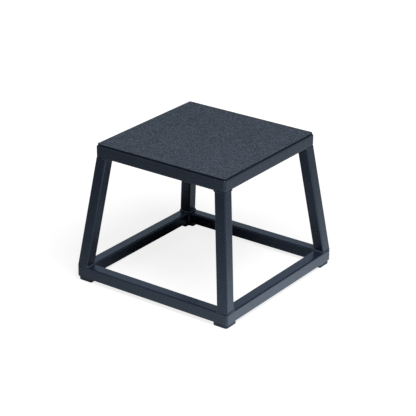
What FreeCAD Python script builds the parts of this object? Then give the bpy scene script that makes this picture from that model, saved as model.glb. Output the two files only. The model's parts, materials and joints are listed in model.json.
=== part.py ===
import FreeCAD, Part
import os
from math import asin, cos, sin

os.makedirs("parts", exist_ok=True)

# A jump box: a square top frame and a wider square base frame of steel tube, joined by
# four legs that lean outwards both ways, with a rubber-covered deck and rubber corner feet.
# Millimetres. The origin is on the floor under the middle of the box, and +Z is up.

# Overall sizes
total_height = 304.8           # floor to landing surface
base_width = 386.0             # outside of the base frame
top_width = 323.0              # outside of the top frame

# Square steel tube, the same for rails and legs
tube_side = 25.4
tube_wall = 2.0
tube_corner_radius = 3.0       # outside, along the tube's edges
tube_bore_radius = 1.0         # inside, along the tube's edges
corner_dressing = 2.0          # extra rounding where a mitred corner is ground smooth

# Legs: how far the outer edge stands in from the frames' sharp corners
leg_top_inset = 0.3
leg_base_inset = 0.6

# Weld beads
leg_bead = 3.5                 # height and width of the bead round a leg's end
leg_bead_recess = 1.3          # how far it lies back in the groove on the outer faces
bead_round_share = 0.9         # rounding of that bead's rims, as a share of its size
corner_bead = 3.0              # upright bead inside each mitred corner
gusset_bead = 2.5
gusset_bead_length = 22.0

# Deck: a rubber mat over the rails and over a board let in flush between them
mat_thickness = 4.0
mat_inset = 2.2                # mat edge to the rails' outer face
mat_corner_radius = 4.0
mat_edge_radius = 0.8
board_thickness = 12.0
board_clearance = 0.5
board_corner_radius = 4.0

# Corner gussets that carry the board
gusset_leg = 58.0
gusset_thickness = 3.0
gusset_snip = 7.0              # corner cut away to clear the frame's corner bead
gusset_tip = 10.0              # blunt end of each leg of the plate

# Screws that hold the board down on the gussets
deck_screw_radius = 2.1
deck_screw_cover = 2.0         # wood left above the screw's tip
deck_screw_head_radius = 4.2
deck_screw_head_height = 2.8
deck_screw_tip = 2.4

# L-shaped rubber feet under the base frame's corners
foot_height = 7.5
foot_inset = 2.0               # foot edge to the rails' outer face
foot_arm_width = 22.5
foot_arm_length = 36.0         # arm end from the rails' outer face at the corner
foot_corner_radius = 6.0
foot_end_radius = 4.0
foot_crook_radius = 2.0        # the inner corner of the L
foot_edge_radius = 1.6         # rounding round the underside

# Screws and washers that hold the feet
foot_web = 2.0                 # rubber between the washer and the rail
foot_screw_edge = 9.5          # screw centre to the arm's end
foot_screw_radius = 2.0
foot_screw_past = 2.5          # full thread beyond the tube's wall
foot_screw_head_radius = 3.8
foot_screw_head_height = 2.2
foot_screw_tip = 2.2
washer_radius = 4.6
washer_thickness = 0.8

# Clearances, one overrun for all cuts, and how closely two places have to agree
hole_clearance = 0.25          # a screw through a plain hole, radially
thread_clearance = 0.05        # a screw in a hole that it cuts its own thread in
pocket_clearance = 0.4         # a washer in its pocket, radially
screw_dome_share = 0.55        # part of a screw head's height that is domed
overrun = 5.0
same_place = 0.001
parallel_share = 0.000001

# Heights and places that follow from them
base_bottom = foot_height
base_top = base_bottom + tube_side
deck_level = total_height - mat_thickness
top_bottom = deck_level - tube_side
board_bottom = deck_level - board_thickness
gusset_bottom = board_bottom - gusset_thickness
frame_corner_radius = tube_corner_radius + corner_dressing
top_inner = top_width / 2 - tube_side
base_inner = base_width / 2 - tube_side
deck_screw_place = top_inner - (gusset_snip + gusset_leg + gusset_tip) / 4
deck_screw_length = gusset_thickness + board_thickness - deck_screw_cover
washer_seat = foot_height - foot_web
foot_screw_seat = washer_seat - washer_thickness
foot_screw_length = washer_thickness + foot_web + tube_wall + foot_screw_past + foot_screw_tip

side_names = ("front", "right", "back", "left")
corner_names = ("back_right", "back_left", "front_left", "front_right")


def point(x, y, z):
    return FreeCAD.Vector(x, y, z)


right = point(1, 0, 0)
back = point(0, 1, 0)
up = point(0, 0, 1)
middle = point(0, 0, 0)


def turned(shape, quarter_turns):
    """A copy turned about the box's upright axis."""
    copy = shape.copy()
    copy.rotate(middle, up, 90 * quarter_turns)
    return copy


def moved(shape, x, y, z):
    copy = shape.copy()
    copy.translate(point(x, y, z))
    return copy


def save(name, shape):
    shape.exportStep(f"parts/{name}.step")


def save_at_corners(name, shape):
    """One node for each corner of the box."""
    for turn, corner in enumerate(corner_names):
        save(f"{name}_{corner}", turned(shape, turn))


def save_group(name, solids):
    """One node that holds the same few solids at every corner."""
    copies = [turned(solid, turn) for turn in range(len(corner_names)) for solid in solids]
    save(name, Part.makeCompound(copies))


def along(edge, direction):
    """Whether a straight edge runs along a direction."""
    if not isinstance(edge.Curve, Part.Line):
        return False
    run = edge.tangentAt(edge.FirstParameter)
    return run.cross(direction).Length < parallel_share * direction.Length


def near(value, wanted):
    return abs(value - wanted) < same_place


def level_edges(shape, *levels):
    """Edges that lie flat at one of the given heights."""
    boxes = [(edge, edge.BoundBox) for edge in shape.Edges]
    return [e for e, b in boxes if any(near(b.ZMin, z) and near(b.ZMax, z) for z in levels)]


def upright_edges(shape, *places):
    """Upright edges, all of them or those that stand at the given places on plan."""
    found = [e for e in shape.Edges if along(e, up)]
    if not places:
        return found
    starts = [(e, e.Vertexes[0].Point) for e in found]
    return [e for e, p in starts if any(near(p.x, x) and near(p.y, y) for x, y in places)]


def prism(outline, bottom, top):
    """An upright solid on a flat outline of (x, y) corners."""
    corners = [point(x, y, bottom) for x, y in outline]
    face = Part.Face(Part.makePolygon(corners + corners[:1]))
    return face.extrude(up * (top - bottom))


def drill(x, y, start, end, radius):
    """An upright cylinder that cuts a hole from one height to another."""
    return Part.makeCylinder(radius, end - start, point(x, y, start))


def square_block(width, bottom, top, plan_radius):
    """A square block about the upright axis, rounded on plan."""
    corner = point(-width / 2, -width / 2, bottom)
    block = Part.makeBox(width, width, top - bottom, corner)
    return block.makeFillet(plan_radius, upright_edges(block))


def rounded_block(width, bottom, top, plan_radius, rim_radius, *rims):
    """A square block that is also rounded along its rims at the given heights."""
    block = square_block(width, bottom, top, plan_radius)
    return block.makeFillet(rim_radius, level_edges(block, *rims))


def quarter_bead(corner, first, second, run, radius):
    """A convex bead that fills the angle between two faces and runs straight along it."""
    start = corner + first * radius
    end = corner + second * radius
    crown = corner + (first + second).normalize() * radius
    rim = Part.Arc(start, crown, end).toShape()
    outline = Part.Wire([Part.makeLine(corner, start), rim, Part.makeLine(end, corner)])
    return Part.Face(outline).extrude(run)


# Frames of mitred tube

def frame_block(width, bottom):
    """The outside of a square frame, filled in, with its mitred corners ground round."""
    top = bottom + tube_side
    return rounded_block(width, bottom, top, frame_corner_radius, tube_corner_radius, bottom, top)


def frame_rail(width, bottom):
    """The front rail of a square frame: a tube mitred at both ends."""
    top = bottom + tube_side
    far = width / 2 + overrun
    inner = width / 2 - tube_side
    between_mitres = [(-far, -far), (far, -far), (inner, -inner), (-inner, -inner)]
    mitres = prism(between_mitres, bottom - overrun, top + overrun)
    rail = frame_block(width, bottom).common(mitres).Solids[0]
    inside_edges = [
        e for e in level_edges(rail, bottom, top)
        if near(e.BoundBox.YMin, -inner) and near(e.BoundBox.YMax, -inner)
    ]
    rail = rail.makeFillet(tube_corner_radius, inside_edges)
    bore_side = tube_side - 2 * tube_wall
    bore_corner = point(-far, -width / 2 + tube_wall, bottom + tube_wall)
    bore = Part.makeBox(2 * far, bore_side, bore_side, bore_corner)
    bore = bore.makeFillet(tube_bore_radius, [e for e in bore.Edges if along(e, right)])
    return rail.cut(bore).Solids[0]


def base_rail():
    """The front base rail, drilled in its underside for the feet at both ends."""
    rail = frame_rail(base_width, base_bottom)
    reach, line = foot_screw_places()[0]
    start = base_bottom - overrun
    end = base_bottom + tube_wall + overrun
    for x in (-reach, reach):
        rail = rail.cut(drill(x, -line, start, end, foot_screw_radius + thread_clearance))
    return rail.Solids[0]


def corner_bead_solid(inner, bottom, top):
    """The upright bead inside the back right corner of a frame."""
    corner = point(inner, inner, bottom)
    return quarter_bead(corner, -right, -back, up * (top - bottom), corner_bead)


# Leaning legs

def square_bar(corner, inward_x, inward_y, run, side, radius):
    """A leaning square bar with rounded edges, drawn from the outer corner of its end."""
    ends = [
        corner,
        corner + inward_x * side,
        corner + (inward_x + inward_y) * side,
        corner + inward_y * side,
    ]
    bar = Part.Face(Part.makePolygon(ends + ends[:1])).extrude(run)
    return bar.makeFillet(radius, [e for e in bar.Edges if along(e, run)])


def leg_bars():
    """The back right leg's outside and its bore, longer than the leg at both ends."""
    foot_edge = base_width / 2 - leg_base_inset
    head_edge = top_width / 2 - leg_top_inset
    foot_corner = point(foot_edge, foot_edge, base_top)
    head_corner = point(head_edge, head_edge, top_bottom)
    axis = (head_corner - foot_corner).normalize()
    start = foot_corner - axis * (tube_side + overrun)
    run = head_corner - foot_corner + axis * 2 * (tube_side + overrun)
    diagonal = -right - back
    inward = (diagonal - axis * diagonal.dot(axis)).normalize()
    across = (back - right).normalize()
    inward_x = (inward + across).normalize()
    inward_y = (inward - across).normalize()
    outside = square_bar(start, inward_x, inward_y, run, tube_side, tube_corner_radius)
    bore_start = start + (inward_x + inward_y) * tube_wall
    bore_side = tube_side - 2 * tube_wall
    bore = square_bar(bore_start, inward_x, inward_y, run, bore_side, tube_bore_radius)
    return outside, bore


def leg(outside, bore):
    """The back right leg, its ends cut level to stand on one frame and carry the other."""
    far = max(base_width, top_width)
    between_frames = Part.makeBox(far, far, top_bottom - base_top, point(0, 0, base_top))
    return outside.common(between_frames).cut(bore).Solids[0]


def leg_weld(outside, width, bottom, joint, leg_above):
    """The bead round one end of the back right leg, run into the rails' rounded shoulders."""
    footprint = outside.slice(up, joint)[0].BoundBox.Center
    low = joint - leg_bead
    high = joint + leg_bead
    collar_side = tube_side + 2 * leg_bead
    rim_radius = leg_bead * bead_round_share
    plan_radius = tube_corner_radius + leg_bead
    collar = rounded_block(collar_side, low, high, plan_radius, rim_radius, low, high)
    collar = moved(collar, footprint.x, footprint.y, 0)
    reach = width - 2 * leg_bead_recess
    reach_radius = frame_corner_radius - leg_bead_recess
    collar = collar.common(square_block(reach, low - overrun, high + overrun, reach_radius))
    inner = width / 2 - tube_side - leg_bead
    deep = leg_bead + overrun
    leg_side_start = joint if leg_above else joint - deep
    rail_side_start = joint - deep if leg_above else joint
    leg_side = Part.makeBox(width, width, deep, point(0, 0, leg_side_start))
    groove = Part.makeBox(width, width, deep, point(inner, inner, rail_side_start))
    bead = collar.common(leg_side.fuse(groove))
    return bead.cut(outside.common(leg_side)).cut(frame_block(width, bottom)).Solids[0]


# Deck

def gusset():
    """The back right corner plate that the board is screwed to."""
    from_corner = [
        (gusset_snip, 0),
        (gusset_leg, 0),
        (gusset_leg, gusset_tip),
        (gusset_tip, gusset_leg),
        (0, gusset_leg),
        (0, gusset_snip),
    ]
    outline = [(top_inner - a, top_inner - b) for a, b in from_corner]
    plate = prism(outline, gusset_bottom, board_bottom)
    start = gusset_bottom - overrun
    end = board_bottom + overrun
    radius = deck_screw_radius + hole_clearance
    return plate.cut(drill(deck_screw_place, deck_screw_place, start, end, radius)).Solids[0]


def gusset_beads():
    """The two short beads under the back right gusset, one along each rail."""
    start = top_inner - (gusset_snip + gusset_leg + gusset_bead_length) / 2
    on_back_rail = point(start, top_inner, gusset_bottom)
    on_right_rail = point(top_inner, start, gusset_bottom)
    return [
        quarter_bead(on_back_rail, -back, -up, right * gusset_bead_length, gusset_bead),
        quarter_bead(on_right_rail, -right, -up, back * gusset_bead_length, gusset_bead),
    ]


def deck_board():
    """The board between the top rails, drilled from below for its screws."""
    width = 2 * (top_inner - board_clearance)
    board = square_block(width, board_bottom, deck_level, board_corner_radius)
    start = board_bottom - overrun
    end = gusset_bottom + deck_screw_length + hole_clearance
    radius = deck_screw_radius + thread_clearance
    pilot = drill(deck_screw_place, deck_screw_place, start, end, radius)
    for turn in range(len(corner_names)):
        board = board.cut(turned(pilot, turn))
    return board.Solids[0]


def deck_mat():
    """The rubber mat on the rails and the board, with a soft upper rim."""
    width = top_width - 2 * mat_inset
    top = total_height
    return rounded_block(width, deck_level, top, mat_corner_radius, mat_edge_radius, top)


# Feet and fasteners

def pan_screw(radius, length, head_radius, head_height, tip):
    """A pan-head screw that points up, its head hanging below the level of zero."""
    dome = head_height * screw_dome_share
    shoulder = head_height - dome
    dome_radius = (head_radius ** 2 + dome ** 2) / (2 * dome)
    half_turn = asin(head_radius / dome_radius) / 2
    crown_height = head_height - dome_radius * (1 - cos(half_turn))
    crown = point(dome_radius * sin(half_turn), 0, -crown_height)
    corners = [
        point(0, 0, -head_height),
        point(0, 0, length),
        point(radius, 0, length - tip),
        point(radius, 0, 0),
        point(head_radius, 0, 0),
        point(head_radius, 0, -shoulder),
    ]
    sides = [Part.makeLine(a, b) for a, b in zip(corners, corners[1:])]
    sides.append(Part.Arc(corners[-1], crown, corners[0]).toShape())
    return Part.Face(Part.Wire(sides)).revolve(middle, up, 360).Solids[0]


def washer():
    """A flat washer, lying on the level of zero."""
    ring = Part.makeCylinder(washer_radius, washer_thickness)
    radius = foot_screw_radius + hole_clearance
    return ring.cut(drill(0, 0, -overrun, washer_thickness + overrun, radius)).Solids[0]


def foot_screw_places():
    """Where the back right foot's two screws stand on plan, one in each arm."""
    reach = base_width / 2 - foot_arm_length + foot_screw_edge
    line = base_width / 2 - foot_inset - foot_arm_width / 2
    return (reach, line), (line, reach)


def foot():
    """The L-shaped foot under the back right corner, with pockets for its screws."""
    edge = base_width / 2 - foot_inset
    crook = edge - foot_arm_width
    end = base_width / 2 - foot_arm_length
    outline = [(edge, edge), (end, edge), (end, crook), (crook, crook), (crook, end), (edge, end)]
    pad = prism(outline, 0, foot_height)
    end_corners = [outline[1], outline[2], outline[4], outline[5]]
    pad = pad.makeFillet(foot_end_radius, upright_edges(pad, *end_corners))
    pad = pad.makeFillet(foot_corner_radius, upright_edges(pad, outline[0]))
    pad = pad.makeFillet(foot_crook_radius, upright_edges(pad, outline[3]))
    pad = pad.makeFillet(foot_edge_radius, level_edges(pad, 0))
    for x, y in foot_screw_places():
        pad = pad.cut(drill(x, y, -overrun, washer_seat, washer_radius + pocket_clearance))
        pad = pad.cut(drill(x, y, -overrun, foot_height + overrun, foot_screw_radius + hole_clearance))
    return pad.Solids[0]


# Build every piece and write it out
top_rail = frame_rail(top_width, top_bottom)
low_rail = base_rail()
for turn, side in enumerate(side_names):
    save(f"top_rail_{side}", turned(top_rail, turn))
    save(f"base_rail_{side}", turned(low_rail, turn))

leg_outside, leg_bore = leg_bars()
save_at_corners("leg", leg(leg_outside, leg_bore))
save_group("leg_base_welds", [leg_weld(leg_outside, base_width, base_bottom, base_top, True)])
save_group("leg_top_welds", [leg_weld(leg_outside, top_width, top_bottom, top_bottom, False)])
save_group(
    "frame_corner_welds",
    [
        corner_bead_solid(base_inner, base_bottom + tube_corner_radius, base_top - tube_corner_radius),
        corner_bead_solid(top_inner, top_bottom + tube_corner_radius, gusset_bottom),
    ],
)

save_at_corners("deck_gusset", gusset())
save_group("gusset_welds", gusset_beads())
save("deck_board", deck_board())
save("deck_mat", deck_mat())
deck_screw = pan_screw(
    deck_screw_radius,
    deck_screw_length,
    deck_screw_head_radius,
    deck_screw_head_height,
    deck_screw_tip,
)
save_group("deck_screws", [moved(deck_screw, deck_screw_place, deck_screw_place, gusset_bottom)])

save_at_corners("foot", foot())
foot_screw = pan_screw(
    foot_screw_radius,
    foot_screw_length,
    foot_screw_head_radius,
    foot_screw_head_height,
    foot_screw_tip,
)
save_group("foot_screws", [moved(foot_screw, x, y, foot_screw_seat) for x, y in foot_screw_places()])
save_group("foot_washers", [moved(washer(), x, y, foot_screw_seat) for x, y in foot_screw_places()])
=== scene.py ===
"""The looks of an open steel jump box: powder coat, weld ripples, rubber grain and screws."""
import json
import math

import bpy
import numpy as np
from mathutils import Matrix, Vector


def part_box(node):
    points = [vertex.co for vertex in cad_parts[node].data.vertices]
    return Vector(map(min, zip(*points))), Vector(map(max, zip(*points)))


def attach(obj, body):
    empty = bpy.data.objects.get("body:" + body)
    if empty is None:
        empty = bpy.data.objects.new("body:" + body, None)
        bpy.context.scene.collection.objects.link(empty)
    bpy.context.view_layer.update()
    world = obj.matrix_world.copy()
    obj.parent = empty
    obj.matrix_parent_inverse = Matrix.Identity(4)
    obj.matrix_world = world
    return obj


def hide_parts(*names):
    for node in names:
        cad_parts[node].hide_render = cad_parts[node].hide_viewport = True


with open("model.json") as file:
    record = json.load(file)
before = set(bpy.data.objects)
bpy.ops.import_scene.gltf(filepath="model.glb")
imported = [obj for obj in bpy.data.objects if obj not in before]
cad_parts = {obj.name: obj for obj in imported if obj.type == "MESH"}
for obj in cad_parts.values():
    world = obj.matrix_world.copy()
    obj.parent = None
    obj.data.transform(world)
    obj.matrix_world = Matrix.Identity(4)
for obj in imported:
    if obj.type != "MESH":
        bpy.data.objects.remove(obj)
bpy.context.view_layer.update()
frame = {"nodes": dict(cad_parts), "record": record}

mm = 0.001

# Places that the solids give
mat_low, mat_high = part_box("deck_mat")
base_low, base_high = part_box("base_rail_front")
leg_low, leg_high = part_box("leg_back_right")
top_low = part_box("top_rail_front")[0]
gusset_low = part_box("deck_gusset_back_right")[0]
foot_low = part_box("foot_back_right")[0]
deck_screw_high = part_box("deck_screws")[1]
foot_screw_low, foot_screw_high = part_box("foot_screws")
tube_side = base_high.z - base_low.z
base_half = -base_low.y
top_half = -top_low.y

# Camera, found from the straight edges in the photograph
photo_pixels = 416
focal_pixels = 1584.19
camera_azimuth = math.radians(35.714)
camera_elevation = math.radians(23.633)
camera_roll = math.radians(0.4205)
camera_distance = 3325.36 * mm
aim_height = 152.4 * mm
aim_right = 4.90 * mm
aim_up = -5.33 * mm

# Weld beads
tube_corner_radius = 3.0 * mm     # the rounded edges of rails and legs
leg_bead_radius = 3.0 * mm        # on the faces that look into the frame
groove_bead_radius = 1.75 * mm    # along the seam on the outer faces
groove_bead_depth = 1.75 * mm     # its middle, in from the rails' outer face
groove_bead_rise = 1.4 * mm       # its middle, from the rail's face towards the leg
bead_fade = 6.0 * mm              # the full bead shrinks to the small one over this length
leg_lean_stretch = 1.008          # a leaning leg's level cut, compared with its section
corner_bead_radius = 3.0 * mm
gusset_bead_radius = 2.5 * mm
gusset_bead_length = 22 * mm
gusset_bead_start = 21.5 * mm     # from the inside corner of the frame
ripple_pitch = 1.5 * mm
ripple_depth = 0.13 * mm
ripple_crescent = 0.25            # lead of the crown over the toes, as a share of the bead radius

# Rubber mat
mat_corner_radius = 4.0 * mm
mat_rim_radius = 0.8 * mm
mat_cells = 290                   # squares along one side of the grained top
grain_size = 2.6 * mm
grain_sway = 2.2 * mm             # how far noise pulls the granules out of round
grain_height = 0.42 * mm
grain_fade = 1.5 * mm             # the strip along the rim where the grain dies out

# Screws
deck_head_radius = 4.2 * mm
deck_head_height = 2.8 * mm
deck_shank_radius = 2.1 * mm
deck_shank_length = 13.0 * mm
foot_head_radius = 3.8 * mm
foot_head_height = 2.2 * mm
foot_shank_radius = 2.0 * mm
foot_shank_length = 9.5 * mm
foot_screw_edge = 9.5 * mm        # screw to the end of the foot's arm

# Finishes
noise_range = (0.3, 0.7)                # most of a noise lies between these
cool_sheen = (0.70, 0.845, 1.0, 1)      # the tint of what the paint and the feet mirror
paint_gloss = {"Specular IOR Level": 0.8, "Specular Tint": cool_sheen}

corners = ((1, 1), (-1, 1), (-1, -1), (1, -1))


class Wire:
    """An output socket in a node tree. Arithmetic on wires adds Math nodes."""

    def __init__(self, tree, socket=None):
        self.tree = tree
        self.socket = socket

    def node(self, kind, settings=None, inputs=None, output=0):
        """A new node: its settings first, then the values or wires of its inputs.

        A list of wires goes to one input that takes them all.
        """
        made = self.tree.nodes.new(kind)
        for name, value in (settings or {}).items():
            setattr(made, name, value)
        for name, value in (inputs or {}).items():
            for wire in value if isinstance(value, list) else [value]:
                if isinstance(wire, Wire):
                    self.tree.links.new(wire.socket, made.inputs[name])
                else:
                    made.inputs[name].default_value = wire
        return Wire(self.tree, made.outputs[output] if made.outputs else None)

    def math(self, operation, *others):
        """A Math node with this wire as its first value."""
        return self.node("ShaderNodeMath", {"operation": operation}, dict(enumerate((self, *others))))

    def math_after(self, first, operation):
        """A Math node with this wire as its second value."""
        return self.node("ShaderNodeMath", {"operation": operation}, {0: first, 1: self})

    def __add__(self, other):
        return self.math("ADD", other)

    def __radd__(self, other):
        return self.math_after(other, "ADD")

    def __sub__(self, other):
        return self.math("SUBTRACT", other)

    def __rsub__(self, other):
        return self.math_after(other, "SUBTRACT")

    def __mul__(self, other):
        return self.math("MULTIPLY", other)

    def __rmul__(self, other):
        return self.math_after(other, "MULTIPLY")

    def __truediv__(self, other):
        return self.math("DIVIDE", other)

    def __rtruediv__(self, other):
        return self.math_after(other, "DIVIDE")

    def eased(self, low, high):
        """Rises smoothly from 0 at low to 1 at high."""
        settings = {"interpolation_type": "SMOOTHSTEP"}
        return self.node("ShaderNodeMapRange", settings, {"Value": self, "From Min": low, "From Max": high})

    def scaled(self, other):
        """A vector wire times a number."""
        return self.node("ShaderNodeVectorMath", {"operation": "SCALE"}, {0: self, "Scale": other})

    def dot(self, other):
        """The dot product of two vector wires."""
        settings = {"operation": "DOT_PRODUCT"}
        return self.node("ShaderNodeVectorMath", settings, {0: self, 1: other}, output="Value")

    def distance(self, point):
        """How far a vector wire is from a point."""
        settings = {"operation": "DISTANCE"}
        return self.node("ShaderNodeVectorMath", settings, {0: self, 1: point}, output="Value")

    def part(self, axis):
        """One coordinate of a vector wire."""
        return self.node("ShaderNodeSeparateXYZ", inputs={0: self}, output=axis)


def blend(factor, first, second):
    """A colour between two colours, on the Mix node's colour sockets."""
    settings = {"data_type": "RGBA"}
    return factor.node("ShaderNodeMix", settings, {0: factor, 6: first, 7: second}, output=2)


def grey(level):
    """A colour without a tint."""
    return (level, level, level, 1.0)


# Finishes

def noise(place, size, detail=2.0, roughness=0.5, stretch=None, output="Fac"):
    """Smooth noise about 0.5 with blobs of a given size, as a number or a colour."""
    if stretch is not None:
        place = place.node("ShaderNodeMapping", inputs={"Vector": place, "Scale": stretch})
    inputs = {"Vector": place, "Scale": 1 / size, "Detail": detail, "Roughness": roughness}
    return place.node("ShaderNodeTexNoise", inputs=inputs, output=output)


def granules(place, size, sway):
    """Crumbs of a given size: the distance from each one's middle, and its own random colour."""
    pull = noise(place, size, detail=1.0, output="Color").scaled(sway)
    swayed = place.node("ShaderNodeVectorMath", inputs={0: place, 1: pull})
    cells = {"Vector": swayed, "Scale": 1 / size}
    distance = place.node("ShaderNodeTexVoronoi", inputs=cells, output="Distance")
    own = place.node("ShaderNodeTexVoronoi", inputs=cells, output="Color")
    return distance, own


def new_finish(name, constants):
    """A material, its shader with the constant inputs set, and the object's own coordinates."""
    material = bpy.data.materials.new(name)
    material.use_nodes = True
    tree = material.node_tree
    shader = tree.nodes["Principled BSDF"]
    for socket, value in constants.items():
        shader.inputs[socket].default_value = value
    place = Wire(tree).node("ShaderNodeTexCoord", output="Object")
    return material, shader, place


def apply_finish(shader, colour, roughness, height, depth):
    """Feeds a shader's colour, its roughness and a bump of the given depth."""
    bump = height.node("ShaderNodeBump", inputs={"Distance": depth, "Height": height})
    for socket, wire in (("Base Color", colour), ("Roughness", roughness), ("Normal", bump)):
        wire.tree.links.new(wire.socket, shader.inputs[socket])


def powder_coat():
    """Satin blue-grey paint with a fine orange peel and slight clouds."""
    peel_size = 1.5 * mm
    peel_depth = 0.14 * mm
    cloud_size = 45 * mm
    fleck_size = 0.5 * mm
    dark = (0.011, 0.0167, 0.031, 1)
    light = (0.028, 0.0423, 0.077, 1)
    material, shader, place = new_finish("powder_coat", paint_gloss)
    peel = noise(place, peel_size, detail=1.0)
    cloud = noise(place, cloud_size, detail=3.0)
    fleck = noise(place, fleck_size, detail=0.0)
    tone = cloud.eased(*noise_range) * 0.2 + peel.eased(*noise_range) * 0.7 + fleck * 0.1
    roughness = 0.21 + cloud * 0.06 + peel * 0.05
    apply_finish(shader, blend(tone, dark, light), roughness, peel + fleck * 0.05, peel_depth)
    return material


def grained_rubber():
    """Crumb rubber: every granule has a tone of its own, with painted shade in the gaps between them and on
    the cut edge of the sides.
    """
    cloud_size = 60 * mm
    fine_size = 0.6 * mm
    bump_depth = 0.22 * mm
    gap_shade_range = (0.45, 0.85)            # from a granule's middle, in granule sizes
    edge_start = 0.5 * mm               # the cut edge, from the top down
    edge_full = 1.2 * mm
    dark_crumb = (0.027, 0.036, 0.052, 1)
    light_crumb = (0.152, 0.190, 0.249, 1)
    # Painted shade for the gaps between granules and for the cut edge
    painted_gap_shade = (0.014, 0.018, 0.025, 1)
    painted_edge_shade = (0.005, 0.006, 0.008, 1)
    material, shader, place = new_finish("grained_rubber", {"Specular IOR Level": 0.3})
    distance, own = granules(place, grain_size, grain_sway)
    cloud = noise(place, cloud_size, detail=3.0)
    fine = noise(place, fine_size)
    # Painted shade: the gaps between granules are darkened, as shade falls in them
    gap_shade = distance.eased(*gap_shade_range)
    tone = own.part("X") * 0.75 + fine * 0.2 + cloud * 0.05
    colour = blend(gap_shade * 0.6, blend(tone, dark_crumb, light_crumb), painted_gap_shade)
    # Painted shade on the sides: below the grained top the mat turns near black, and a little glossier
    cut_edge_and_shade = 1 - place.part("Z").eased(mat_high.z - edge_full, mat_high.z - edge_start)
    colour = blend(cut_edge_and_shade, colour, painted_edge_shade)
    roughness = 0.62 + fine * 0.2 - cut_edge_and_shade * 0.35
    apply_finish(shader, colour, roughness, fine * 0.4 - distance, bump_depth)
    return material


def weld_paint_and_painted_light():
    """The same paint over a weld, with a painted highlight on its crown and painted shade along its toe."""
    peel_size = 1.2 * mm
    peel_depth = 0.012 * mm
    crown_highlight_range = (0.55, 1.0)
    # Painted shade for the toes and a painted highlight for the crown
    painted_toe_shade = (0.004, 0.006, 0.010, 1)
    painted_crown_highlight = (0.034, 0.046, 0.067, 1)
    material, shader, place = new_finish("weld_paint_and_painted_light", paint_gloss)
    peel = noise(place, peel_size, detail=1.0)
    crown = place.node("ShaderNodeAttribute", {"attribute_name": "weld_crown"}, output="Fac")
    # Painted light: bright as a highlight where the bead faces out, dark as shade at its toes
    tone = (crown + (peel - 0.5) * 0.2).eased(*crown_highlight_range)
    roughness = 0.42 - tone * 0.12 + peel * 0.05
    apply_finish(shader, blend(tone, painted_toe_shade, painted_crown_highlight), roughness, peel, peel_depth)
    return material


def moulded_rubber():
    """Dark foot rubber with a fine moulded grain and a few scuffs."""
    moulding_size = 0.8 * mm
    moulding_depth = 0.04 * mm
    scuff_size = 9 * mm
    scuff_range = (0.45, 0.8)
    clean = (0.028, 0.038, 0.055, 1)
    scuffed = (0.044, 0.057, 0.080, 1)
    gloss = {"Specular IOR Level": 0.55, "Specular Tint": cool_sheen}
    material, shader, place = new_finish("moulded_rubber", gloss)
    grain = noise(place, moulding_size)
    scuff = noise(place, scuff_size, detail=4.0, roughness=0.7)
    colour = blend(scuff.eased(*scuff_range), clean, scuffed)
    roughness = 0.38 + grain * 0.1 + scuff * 0.1
    apply_finish(shader, colour, roughness, grain, moulding_depth)
    return material


def plywood():
    """Birch plywood: long grain on its face, and bands of plies on its edges."""
    ply_thickness = 1.5 * mm
    ply_line = (0.42, 0.58)             # the change between two plies, in ply thicknesses
    figure_size = 14 * mm
    figure_stretch = (0.12, 1, 1)
    pore_size = 0.9 * mm
    pore_stretch = (0.04, 1, 1)
    pore_depth = 0.05 * mm
    dark = (0.36, 0.23, 0.12, 1)
    light = (0.58, 0.42, 0.26, 1)
    material, shader, place = new_finish("plywood", {"Specular IOR Level": 0.3})
    figure = noise(place, figure_size, detail=5.0, roughness=0.6, stretch=figure_stretch)
    pores = noise(place, pore_size, stretch=pore_stretch)
    ply = (place.part("Z") / ply_thickness).math("FRACT").eased(*ply_line)
    tone = figure.eased(*noise_range) * 0.6 + pores * 0.25 + ply * 0.15
    roughness = 0.6 + pores * 0.2
    apply_finish(shader, blend(tone, dark, light), roughness, pores + figure * 0.3, pore_depth)
    return material


def zinc_plate():
    """Zinc-plated steel with a faint warm and cool mottle and fine turning marks."""
    mottle_size = 3 * mm
    mark_size = 0.35 * mm
    mark_depth = 0.01 * mm
    warm = (0.52, 0.51, 0.47, 1)
    cool = (0.62, 0.64, 0.66, 1)
    material, shader, place = new_finish("zinc_plate", {"Metallic": 1.0})
    mottle = noise(place, mottle_size, detail=3.0)
    marks = noise(place, mark_size, detail=1.0)
    roughness = 0.28 + marks * 0.2
    apply_finish(shader, blend(mottle, warm, cool), roughness, marks, mark_depth)
    return material


# Geometry trees

def geometry_tree(name, *sizes):
    """A geometry tree with a named input for each size, and the wires of its inputs."""
    tree = bpy.data.node_groups.new(name, "GeometryNodeTree")
    tree.interface.new_socket("Geometry", in_out="INPUT", socket_type="NodeSocketGeometry")
    for size in sizes:
        tree.interface.new_socket(size, in_out="INPUT", socket_type="NodeSocketFloat")
    tree.interface.new_socket("Geometry", in_out="OUTPUT", socket_type="NodeSocketGeometry")
    group = tree.nodes.new("NodeGroupInput")
    return tree, {socket.name: Wire(tree, socket) for socket in group.outputs}


def close_tree(shape, material):
    """Ends a tree with real geometry of one material."""
    real = shape.node("GeometryNodeRealizeInstances", inputs={"Geometry": shape})
    dressed = shape.node("GeometryNodeSetMaterial", inputs={"Geometry": real, "Material": material})
    shape.node("NodeGroupOutput", inputs={0: dressed})


def named(tree, attribute, kind):
    """What an attribute of the seed mesh holds at each point."""
    settings = {"data_type": kind}
    return Wire(tree).node("GeometryNodeInputNamedAttribute", settings, {"Name": attribute})


def joined(*shapes):
    """Several shapes as one."""
    return shapes[0].node("GeometryNodeJoinGeometry", inputs={0: list(shapes)})


def shifted(shape, **changes):
    """A shape moved or turned as a whole."""
    return shape.node("GeometryNodeTransform", inputs={"Geometry": shape, **changes})


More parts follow.
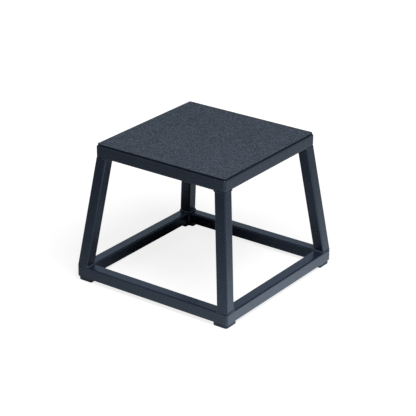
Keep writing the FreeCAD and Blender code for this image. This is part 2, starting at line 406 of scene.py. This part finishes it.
def weld_tree(weld_finish):
    """Turns paths with their own bead radius into rippled weld beads."""
    steps_per_ripple = 5
    bead_sides = 14
    lump_size = 4 * mm
    lump_share = 0.35                   # of the bead's radius
    tree, given = geometry_tree("weld_bead", "Ripple pitch", "Ripple depth", "Crescent")
    start = given["Geometry"]
    path = start.node("GeometryNodeMeshToCurve", inputs={"Mesh": start})
    spacing = given["Ripple pitch"] / steps_per_ripple
    path = start.node("GeometryNodeResampleCurve", {"mode": "LENGTH"}, {"Curve": path, "Length": spacing})
    run = start.node("GeometryNodeSplineParameter", output="Length")
    ripple = (run * math.tau / given["Ripple pitch"]).math("SINE")
    place = start.node("GeometryNodeInputPosition")
    uneven = noise(place, lump_size) - 0.5
    radius = named(tree, "bead_radius", "FLOAT")
    width = radius * (1 + uneven * lump_share) + ripple * given["Ripple depth"]
    ring = {"Resolution": bead_sides, "Radius": 1.0}
    circle = start.node("GeometryNodeCurvePrimitiveCircle", inputs=ring)
    swept = {"Curve": path, "Profile Curve": circle, "Scale": width, "Fill Caps": True}
    bead = start.node("GeometryNodeCurveToMesh", inputs=swept)
    normal = start.node("GeometryNodeInputNormal")
    # How far each point faces out of the bead. It moves the crown ahead, and the weld finish paints its
    # highlight and its toe shade from it
    crown = normal.dot(named(tree, "bead_out", "FLOAT_VECTOR")).eased(0.0, 1.0)
    kept = {"Geometry": bead, "Name": "weld_crown", "Value": crown}
    bead = start.node("GeometryNodeStoreNamedAttribute", {"data_type": "FLOAT"}, kept)
    lead = named(tree, "bead_run", "FLOAT_VECTOR").scaled(crown * radius * given["Crescent"])
    bead = start.node("GeometryNodeSetPosition", inputs={"Geometry": bead, "Offset": lead})
    bead = start.node("GeometryNodeSetShadeSmooth", inputs={"Geometry": bead})
    close_tree(bead, weld_finish)
    return tree


def grain_tree(rubber):
    """Sinks the gaps between the granules of a rubber top."""
    gap_share = 1.4                     # of the grain's height, at one granule size from a middle
    uneven_share = 0.35                 # of it, by which some granules lie deeper
    tree, given = geometry_tree("rubber_grain", "Grain size", "Grain sway", "Grain height")
    start = given["Geometry"]
    place = start.node("GeometryNodeInputPosition")
    distance, own = granules(place, given["Grain size"], given["Grain sway"])
    sunk = distance * distance * gap_share + own.part("Y") * uneven_share
    drop = sunk * given["Grain height"] * named(tree, "grained", "FLOAT")
    offset = start.node("ShaderNodeCombineXYZ", inputs={"Z": 0 - drop})
    shape = start.node("GeometryNodeSetPosition", inputs={"Geometry": start, "Offset": offset})
    shape = start.node("GeometryNodeSetShadeSmooth", inputs={"Geometry": shape})
    close_tree(shape, rubber)
    return tree


def screw_tree(steel):
    """Sets a cross-recessed pan-head screw, pointing up, at every point."""
    head_sides = 42
    head_rings = 8
    rim_drop = 0.55                     # of the head's height, from its crown to its rim
    slot_length = 1.15                  # in head radii
    slot_width = 0.26
    slot_height = 1.1                   # in head heights
    slot_levels = (1.0, 0.98)           # their middles below the seat, so that no floors coincide
    shank_sides = 16
    core_share = 0.8                    # of the shank's radius, under the thread
    tip_share = 0.79
    tip_length = 1.05                   # in shank radii
    tip_overlap = 0.05
    turns_per_radius = 1.8
    ridge_share = 0.2
    ridge_sides = 4
    sizes = ("Head radius", "Head height", "Shank radius", "Shank length")
    tree, given = geometry_tree("pan_screw", *sizes)
    start = given["Geometry"]
    head_radius, head_height, shank_radius, shank_length = (given[size] for size in sizes)

    def up(height):
        return start.node("ShaderNodeCombineXYZ", inputs={"Z": height})

    # The head is a disc below its seat, with a crown on its lower face
    disc = {
        "Vertices": head_sides,
        "Side Segments": 1,
        "Fill Segments": head_rings,
        "Radius": head_radius,
        "Depth": head_height,
    }
    head = start.node("GeometryNodeMeshCylinder", {"fill_type": "TRIANGLE_FAN"}, disc)
    place = start.node("GeometryNodeInputPosition")
    from_axis_squared = place.part("X") * place.part("X") + place.part("Y") * place.part("Y")
    fall = from_axis_squared / (head_radius * head_radius) * head_height * rim_drop
    lower_face = place.part("Z").math("LESS_THAN", head_height * -0.25)
    crowned = {"Geometry": head, "Selection": lower_face, "Offset": up(fall)}
    head = start.node("GeometryNodeSetPosition", inputs=crowned)
    head = shifted(head, Translation=up(head_height * -0.5))
    arm_size = {
        "X": head_radius * slot_length,
        "Y": head_radius * slot_width,
        "Z": head_height * slot_height,
    }
    arm = start.node("ShaderNodeCombineXYZ", inputs=arm_size)
    slot = start.node("GeometryNodeMeshCube", inputs={"Size": arm})
    carve = {"operation": "DIFFERENCE", "solver": "EXACT"}
    for turn, level in zip((0, math.pi / 2), slot_levels):
        across = shifted(slot, Translation=up(head_height * -level), Rotation=(0, 0, turn))
        head = start.node("GeometryNodeMeshBoolean", carve, {"Mesh 1": head, "Mesh 2": across})

    # The shank, its point and its thread
    core = {"Vertices": shank_sides, "Radius": shank_radius * core_share, "Depth": shank_length}
    shank = start.node("GeometryNodeMeshCylinder", inputs=core)
    shank = shifted(shank, Translation=up(shank_length * 0.5))
    point = {
        "Vertices": shank_sides,
        "Radius Bottom": shank_radius * tip_share,
        "Depth": shank_radius * tip_length,
    }
    tip = start.node("GeometryNodeMeshCone", inputs=point)
    tip = shifted(tip, Translation=up(shank_length - shank_radius * tip_overlap))
    spiral = {
        "Resolution": shank_sides,
        "Rotations": shank_length / shank_radius * turns_per_radius,
        "Start Radius": shank_radius * core_share,
        "End Radius": shank_radius * core_share,
        "Height": shank_length,
    }
    thread = start.node("GeometryNodeCurveSpiral", inputs=spiral)
    ring = {"Resolution": ridge_sides, "Radius": shank_radius * ridge_share}
    ridge = start.node("GeometryNodeCurvePrimitiveCircle", inputs=ring)
    swept = {"Curve": thread, "Profile Curve": ridge, "Fill Caps": True}
    thread = start.node("GeometryNodeCurveToMesh", inputs=swept)
    screw = joined(head, shank, tip, thread)
    screws_set = start.node("GeometryNodeInstanceOnPoints", inputs={"Points": start, "Instance": screw})
    close_tree(screws_set, steel)
    return tree


def grown(name, seed, tree, sizes):
    """The plain mesh that a tree makes from a seed mesh, as a piece at the origin."""
    holder = bpy.data.objects.new(f"{name}_seed", seed)
    bpy.context.scene.collection.objects.link(holder)
    modifier = holder.modifiers.new(tree.name, "NODES")
    modifier.node_group = tree
    for item in tree.interface.items_tree:
        if item.name in sizes:
            modifier[item.identifier] = sizes[item.name]
    evaluated = holder.evaluated_get(bpy.context.evaluated_depsgraph_get())
    mesh = bpy.data.meshes.new_from_object(evaluated)
    mesh.name = name
    holder.modifiers.clear()
    bpy.data.objects.remove(holder)
    piece = bpy.data.objects.new(name, mesh)
    bpy.context.scene.collection.objects.link(piece)
    return piece


def fit_piece(piece, node):
    """A finished piece rides on the frame and stands for its solids."""
    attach(piece, "root")
    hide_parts(node)


# Weld beads

def eased(value, low, high):
    """Rises smoothly from 0 at low to 1 at high."""
    t = min(max((value - low) / (high - low), 0.0), 1.0)
    return t * t * (3 - 2 * t)


def leg_loop(inner, outer, height, rail_way):
    """The path round one leg's end, at the back right corner.

    The bead is full on the two faces that look into the frame and small in the outer groove.
    rail_way is 1 where the rail is above the leg and -1 where it is below.
    A path is its points, each with a bead radius, a way out and a way along, and whether it is closed.
    """
    turn_steps = 6
    turns = ((outer, outer, 0), (inner, outer, 1), (inner, inner, 2), (outer, inner, 3))
    line = []
    for x, y, quarter in turns:
        middle_x = x - tube_corner_radius if x == outer else x + tube_corner_radius
        middle_y = y - tube_corner_radius if y == outer else y + tube_corner_radius
        for step in range(turn_steps + 1):
            angle = (quarter + step / turn_steps) * math.pi / 2
            px = middle_x + tube_corner_radius * math.cos(angle)
            py = middle_y + tube_corner_radius * math.sin(angle)
            full = 1 - eased(min(px - inner, py - inner), 0.0, bead_fade)
            radius = groove_bead_radius + (leg_bead_radius - groove_bead_radius) * full
            level = height - rail_way * groove_bead_rise * (1 - full)
            run = Vector((-math.sin(angle), math.cos(angle), 0))
            away = Vector((math.cos(angle), math.sin(angle), -rail_way))
            line.append((Vector((px, py, level)), radius, away.normalized(), run))
    return line, True


def straight_bead(start, end, radius, away):
    """An open path of two points."""
    run = (end - start).normalized()
    ends = [(place, radius, away.normalized(), run) for place in (start, end)]
    return ends, False


def turned(path, quarter_turns):
    """A path turned about the box's upright axis."""
    line, closed = path
    turn = Matrix.Rotation(quarter_turns * math.pi / 2, 3, "Z")
    return [(turn @ place, radius, turn @ away, turn @ run) for place, radius, away, run in line], closed


def bead_seed(name, paths):
    """One mesh of path edges that carries each point's bead radius and directions."""
    mesh = bpy.data.meshes.new(name)
    points = []
    edges = []
    for line, closed in paths:
        first = len(points)
        points += line
        last = len(points) - 1
        edges += [(i, i + 1) for i in range(first, last)]
        if closed:
            edges.append((last, first))
    places, radii, ways_out, ways_along = zip(*points)
    mesh.from_pydata(places, edges, [])
    mesh.attributes.new("bead_radius", "FLOAT", "POINT").data.foreach_set("value", radii)
    for attribute, ways in (("bead_out", ways_out), ("bead_run", ways_along)):
        values = [c for way in ways for c in way]
        mesh.attributes.new(attribute, "FLOAT_VECTOR", "POINT").data.foreach_set("vector", values)
    return mesh


def weld_beads(weld_finish):
    """All the beads of the frame, one piece for each group of solids."""
    tree = weld_tree(weld_finish)
    footprint = tube_side * leg_lean_stretch
    base_loop = leg_loop(leg_high.x - footprint, base_half - groove_bead_depth, base_high.z, -1)
    top_loop = leg_loop(leg_low.x, top_half - groove_bead_depth, top_low.z, 1)
    inward = Vector((-1, -1, 0))
    base_inside = base_half - tube_side
    top_inside = top_half - tube_side
    base_upright = straight_bead(
        Vector((base_inside, base_inside, base_low.z + tube_corner_radius)),
        Vector((base_inside, base_inside, base_high.z - tube_corner_radius)),
        corner_bead_radius,
        inward,
    )
    top_upright = straight_bead(
        Vector((top_inside, top_inside, top_low.z + tube_corner_radius)),
        Vector((top_inside, top_inside, gusset_low.z)),
        corner_bead_radius,
        inward,
    )
    near_end = top_inside - gusset_bead_start
    far_end = near_end - gusset_bead_length
    on_back_rail = straight_bead(
        Vector((near_end, top_inside, gusset_low.z)),
        Vector((far_end, top_inside, gusset_low.z)),
        gusset_bead_radius,
        Vector((0, -1, -1)),
    )
    on_right_rail = straight_bead(
        Vector((top_inside, near_end, gusset_low.z)),
        Vector((top_inside, far_end, gusset_low.z)),
        gusset_bead_radius,
        Vector((-1, 0, -1)),
    )
    groups = {
        "leg_base_welds": [base_loop],
        "leg_top_welds": [top_loop],
        "frame_corner_welds": [base_upright, top_upright],
        "gusset_welds": [on_back_rail, on_right_rail],
    }
    sizes = {"Ripple pitch": ripple_pitch, "Ripple depth": ripple_depth, "Crescent": ripple_crescent}
    for node, paths in groups.items():
        everywhere = [turned(path, turn) for turn in range(len(corners)) for path in paths]
        piece = grown(f"{node}_rippled", bead_seed(node, everywhere), tree, sizes)
        fit_piece(piece, node)


# Rubber mat

def mat_seed():
    """A closed slab with a fine square mesh on top, a rounded rim and rounded corners."""
    rim_steps = 4
    half = mat_high.x - mat_rim_radius
    corner = mat_corner_radius - mat_rim_radius
    straight = half - corner

    # A square grid, with its four corners pressed round
    side = mat_cells + 1
    steps = np.linspace(-half, half, side)
    x, y = (a.ravel() for a in np.meshgrid(steps, steps, indexing="ij"))
    over_x = np.clip(np.abs(x) - straight, 0, corner) / corner
    over_y = np.clip(np.abs(y) - straight, 0, corner) / corner
    in_corner = (over_x > 0) & (over_y > 0)
    round_x = np.sign(x) * (straight + corner * over_x * np.sqrt(1 - over_y ** 2 / 2))
    round_y = np.sign(y) * (straight + corner * over_y * np.sqrt(1 - over_x ** 2 / 2))
    x = np.where(in_corner, round_x, x)
    y = np.where(in_corner, round_y, y)
    index = np.arange(side * side).reshape(side, side)
    quads = np.stack([index[:-1, :-1], index[1:, :-1], index[1:, 1:], index[:-1, 1:]], axis=-1)
    faces = quads.reshape(-1, 4).tolist()
    points = [(px, py, mat_high.z) for px, py in zip(x, y)]

    # Rings of points from the grid's border round the rim and down to the underside
    border = [*index[:-1, 0], *index[-1, :-1], *index[:0:-1, -1], *index[0, :0:-1]]
    border = [int(i) for i in border]
    count = len(border)
    levels = []
    for step in range(1, rim_steps + 1):
        angle = step / rim_steps * math.pi / 2
        levels.append((math.sin(angle), mat_high.z - mat_rim_radius * (1 - math.cos(angle))))
    levels.append((1.0, mat_low.z))
    rings = [border]
    for reach, height in levels:
        ring = []
        for i in border:
            foot = Vector((min(max(x[i], -straight), straight), min(max(y[i], -straight), straight)))
            place = Vector((x[i], y[i]))
            place += (place - foot).normalized() * mat_rim_radius * reach
            ring.append(len(points))
            points.append((place.x, place.y, height))
        rings.append(ring)
    for upper, lower in zip(rings, rings[1:]):
        for i in range(count):
            j = (i + 1) % count
            faces.append((upper[i], lower[i], lower[j], upper[j]))
    faces.append(tuple(reversed(rings[-1])))
    mesh = bpy.data.meshes.new("deck_mat_slab")
    mesh.from_pydata(points, [], faces)

    # The grain is full on the top and dies out towards its border
    past_x = np.abs(x) - straight
    past_y = np.abs(y) - straight
    past_corner = np.hypot(np.maximum(past_x, 0), np.maximum(past_y, 0))
    edge_gap = corner - past_corner - np.minimum(np.maximum(past_x, past_y), 0)
    grained = np.zeros(len(points))
    grained[:side * side] = np.clip(edge_gap / grain_fade, 0, 1)
    mesh.attributes.new("grained", "FLOAT", "POINT").data.foreach_set("value", grained)
    return mesh


def deck_mat(rubber):
    """The mat, with its granules standing up."""
    sizes = {"Grain size": grain_size, "Grain sway": grain_sway, "Grain height": grain_height}
    piece = grown("deck_mat_grained", mat_seed(), grain_tree(rubber), sizes)
    fit_piece(piece, "deck_mat")


# Screws

def point_seed(name, places):
    """A mesh of loose points."""
    mesh = bpy.data.meshes.new(name)
    mesh.from_pydata(places, [], [])
    return mesh


def screws(steel):
    """The screws of the deck and of the feet, as one piece each."""
    tree = screw_tree(steel)
    deck_place = deck_screw_high.x - deck_head_radius
    deck_places = [(sx * deck_place, sy * deck_place, gusset_low.z) for sx, sy in corners]
    foot_line = foot_screw_high.x - foot_head_radius
    foot_reach = foot_low.x + foot_screw_edge
    foot_seat = foot_screw_low.z + foot_head_height
    foot_places = []
    for sx, sy in corners:
        foot_places.append((sx * foot_line, sy * foot_reach, foot_seat))
        foot_places.append((sx * foot_reach, sy * foot_line, foot_seat))
    deck_sizes = {
        "Head radius": deck_head_radius,
        "Head height": deck_head_height,
        "Shank radius": deck_shank_radius,
        "Shank length": deck_shank_length - deck_shank_radius,
    }
    foot_sizes = {
        "Head radius": foot_head_radius,
        "Head height": foot_head_height,
        "Shank radius": foot_shank_radius,
        "Shank length": foot_shank_length - foot_shank_radius,
    }
    kinds = (("deck_screws", deck_places, deck_sizes), ("foot_screws", foot_places, foot_sizes))
    for node, places, sizes in kinds:
        piece = grown(f"{node}_threaded", point_seed(node, places), tree, sizes)
        fit_piece(piece, node)


def dress_solids(finishes):
    """Gives every solid that still shows the finish of its material slot."""
    for part in frame["record"]["subparts"]:
        for slot in frame["nodes"][part["node"]].material_slots:
            slot.material = finishes[part["material_slot"]]


# Studio

def camera_axes():
    """The camera's right, up and back directions."""
    azimuth, elevation = camera_azimuth, camera_elevation
    back = Vector((
        math.sin(azimuth) * math.cos(elevation),
        -math.cos(azimuth) * math.cos(elevation),
        math.sin(elevation),
    ))
    level_right = Vector((math.cos(azimuth), math.sin(azimuth), 0))
    level_up = back.cross(level_right)
    right = level_right * math.cos(camera_roll) + level_up * math.sin(camera_roll)
    up = level_up * math.cos(camera_roll) - level_right * math.sin(camera_roll)
    return right, up, back


def add_camera():
    """A camera at the photograph's viewing angle."""
    right, up, back = camera_axes()
    data = bpy.data.cameras.new("camera")
    data.lens = data.sensor_width * focal_pixels / photo_pixels
    camera = bpy.data.objects.new("camera", data)
    bpy.context.scene.collection.objects.link(camera)
    aim = Vector((0, 0, aim_height)) + right * aim_right + up * aim_up
    place = Matrix.Translation(aim + back * camera_distance)
    turn = Matrix((right, up, back)).transposed().to_4x4()
    camera.matrix_world = place @ turn
    bpy.context.scene.camera = camera


def softbox(name, place, aim, width, power):
    """A square soft light that faces a point."""
    data = bpy.data.lights.new(name, "AREA")
    data.size = width
    data.energy = power
    lamp = bpy.data.objects.new(name, data)
    bpy.context.scene.collection.objects.link(lamp)
    lamp.location = place
    lamp.rotation_euler = (aim - place).to_track_quat("-Z", "Y").to_euler()


def seen_directly(start):
    """Wires that are 1 for rays from the camera, and for rays by way of a mirror or glass."""
    camera = start.node("ShaderNodeLightPath", output="Is Camera Ray")
    glossy = start.node("ShaderNodeLightPath", output="Is Glossy Ray")
    transmission = start.node("ShaderNodeLightPath", output="Is Transmission Ray")
    return camera, glossy.math("MAXIMUM", transmission)


def floor_glow(place, from_middle):
    """How bright the floor glows to mirrors alone, as painted reflections and pools of light on the paint:
    most on the box's right, less elsewhere.

    Each glow eases in or out between two distances from the box's middle, in metres.
    """
    beside = (0.15, 0.21)
    left_start = (0.22, 0.34)
    under_end = (0.04, 0.13)
    right_level = 1.46
    right_fall = 1.83                   # per metre
    right_least = 0.14
    right_gain = 1.06
    right_back_end = (0.0, 0.36)
    right_back_loss = 0.30
    right_front_end = (0.15, 0.4)
    right_front_loss = 0.6
    front_end = (0.3, 1.5)
    front_least = 0.13                  # at the left end, and this much more at the right
    front_rise = (-0.45, 0.3)
    front_gain = 0.36
    left_front_end = (0.1, 0.4)
    left_level = 0.32
    back_level = 0.24
    under_level = 0.22
    right = place.part("X")
    back = place.part("Y")
    left = 0 - right
    front = 0 - back
    right_glow = right.eased(*beside) * (right_level - right * right_fall).math("MAXIMUM", right_least)
    right_glow = right_glow * (right_gain - back.eased(*right_back_end) * right_back_loss)
    right_glow = right_glow * (1 - front.eased(*right_front_end) * right_front_loss)
    front_glow = front.eased(*beside) * (1 - front.eased(*front_end))
    front_glow = front_glow * (front_least + right.eased(*front_rise) * front_gain)
    left_glow = left.eased(*left_start) * (1 - front.eased(*left_front_end)) * left_level
    back_glow = back.eased(*beside) * back_level
    under_glow = (1 - from_middle.eased(*under_end)) * under_level
    beside_glow = right_glow.math("MAXIMUM", front_glow)
    beside_glow = beside_glow.math("MAXIMUM", left_glow).math("MAXIMUM", back_glow)
    return beside_glow + under_glow


def add_floor():
    """A wide pale floor that keeps the box's shadow, with a painted soft shadow in its glow near the box.
    In mirrors alone it glows round the box, which paints reflections on the paint.
    """
    reach = 12.0
    floor_grey = 0.42
    below_feet = 0.2 * mm
    white_near = 0.84                   # its own white under the box, where the shadow falls
    white_range = (0.3, 0.9)            # and from there to full white, in metres
    mirror_tint = (0.90, 1.0, 1.11, 1)
    mesh = bpy.data.meshes.new("studio_floor")
    edges = [(-reach, -reach, 0), (reach, -reach, 0), (reach, reach, 0), (-reach, reach, 0)]
    mesh.from_pydata(edges, [], [(0, 1, 2, 3)])
    floor = bpy.data.objects.new("studio_floor", mesh)
    bpy.context.scene.collection.objects.link(floor)
    floor.location.z = -below_feet
    material = bpy.data.materials.new("studio_paper")
    material.use_nodes = True
    tree = material.node_tree
    tree.nodes.clear()
    start = Wire(tree)
    place = start.node("ShaderNodeTexCoord", output="Object")
    from_middle = place.distance((0, 0, 0))
    seen, mirrored = seen_directly(start)
    # Painted soft shadow: the camera's white rises from dim beside the box to full further out
    white = white_near + from_middle.eased(*white_range) * (1 - white_near)
    level = seen * white + mirrored * floor_glow(place, from_middle)
    tint = blend(mirrored, grey(1.0), mirror_tint)
    lit = start.node("ShaderNodeBsdfDiffuse", inputs={"Color": grey(floor_grey)})
    glow = start.node("ShaderNodeEmission", inputs={"Color": tint, "Strength": level})
    both = start.node("ShaderNodeAddShader", inputs={0: lit, 1: glow})
    start.node("ShaderNodeOutputMaterial", inputs={"Surface": both})
    mesh.materials.append(material)


def add_world():
    """A dim studio. The camera sees it white, and to mirrors alone it shows a low pale wall, a painted
    reflection on the paint.
    """
    ambient = 0.012
    wall_level = 0.51
    wall_top = (0.44, 0.58)             # where it ends, as the sine of the height angle
    wall_tint = (0.82, 0.98, 1.18, 1)
    world = bpy.data.worlds.new("studio")
    bpy.context.scene.world = world
    world.use_nodes = True
    tree = world.node_tree
    tree.nodes.clear()
    start = Wire(tree)
    seen, mirrored = seen_directly(start)
    rise = start.node("ShaderNodeTexCoord", output="Generated").part("Z")
    wall = 1 - rise.eased(*wall_top)
    strength = ambient + seen * (1 - ambient) + mirrored * wall * wall_level
    colour = blend(mirrored, grey(1.0), wall_tint)
    backdrop = start.node("ShaderNodeBackground", inputs={"Color": colour, "Strength": strength})
    start.node("ShaderNodeOutputWorld", inputs={"Surface": backdrop})


def add_lights():
    """A large key light high at the front right, and a weak one on the left."""
    distance = 2.6
    width = 1.2
    middle = Vector((0, 0, aim_height))
    # Each one's azimuth from +X and height angle, in degrees, and its watts
    lamps = (
        ("key_front_right", -30, 60, 35),
        ("fill_left", 170, 40, 6),
    )
    for name, azimuth, elevation, power in lamps:
        turn = math.radians(azimuth)
        rise = math.radians(elevation)
        way = Vector((math.cos(turn) * math.cos(rise), math.sin(turn) * math.cos(rise), math.sin(rise)))
        softbox(name, way * distance, middle, width, power)


paint = powder_coat()
rubber = grained_rubber()
steel = zinc_plate()
finishes = {
    "frame_paint": paint,
    "mat_rubber": rubber,
    "deck_ply": plywood(),
    "foot_rubber": moulded_rubber(),
    "screw_steel": steel,
}
dress_solids(finishes)
weld_beads(weld_paint_and_painted_light())
deck_mat(rubber)
screws(steel)

add_camera()
add_floor()
add_world()
add_lights()
bpy.context.scene.view_settings.view_transform = "Standard"
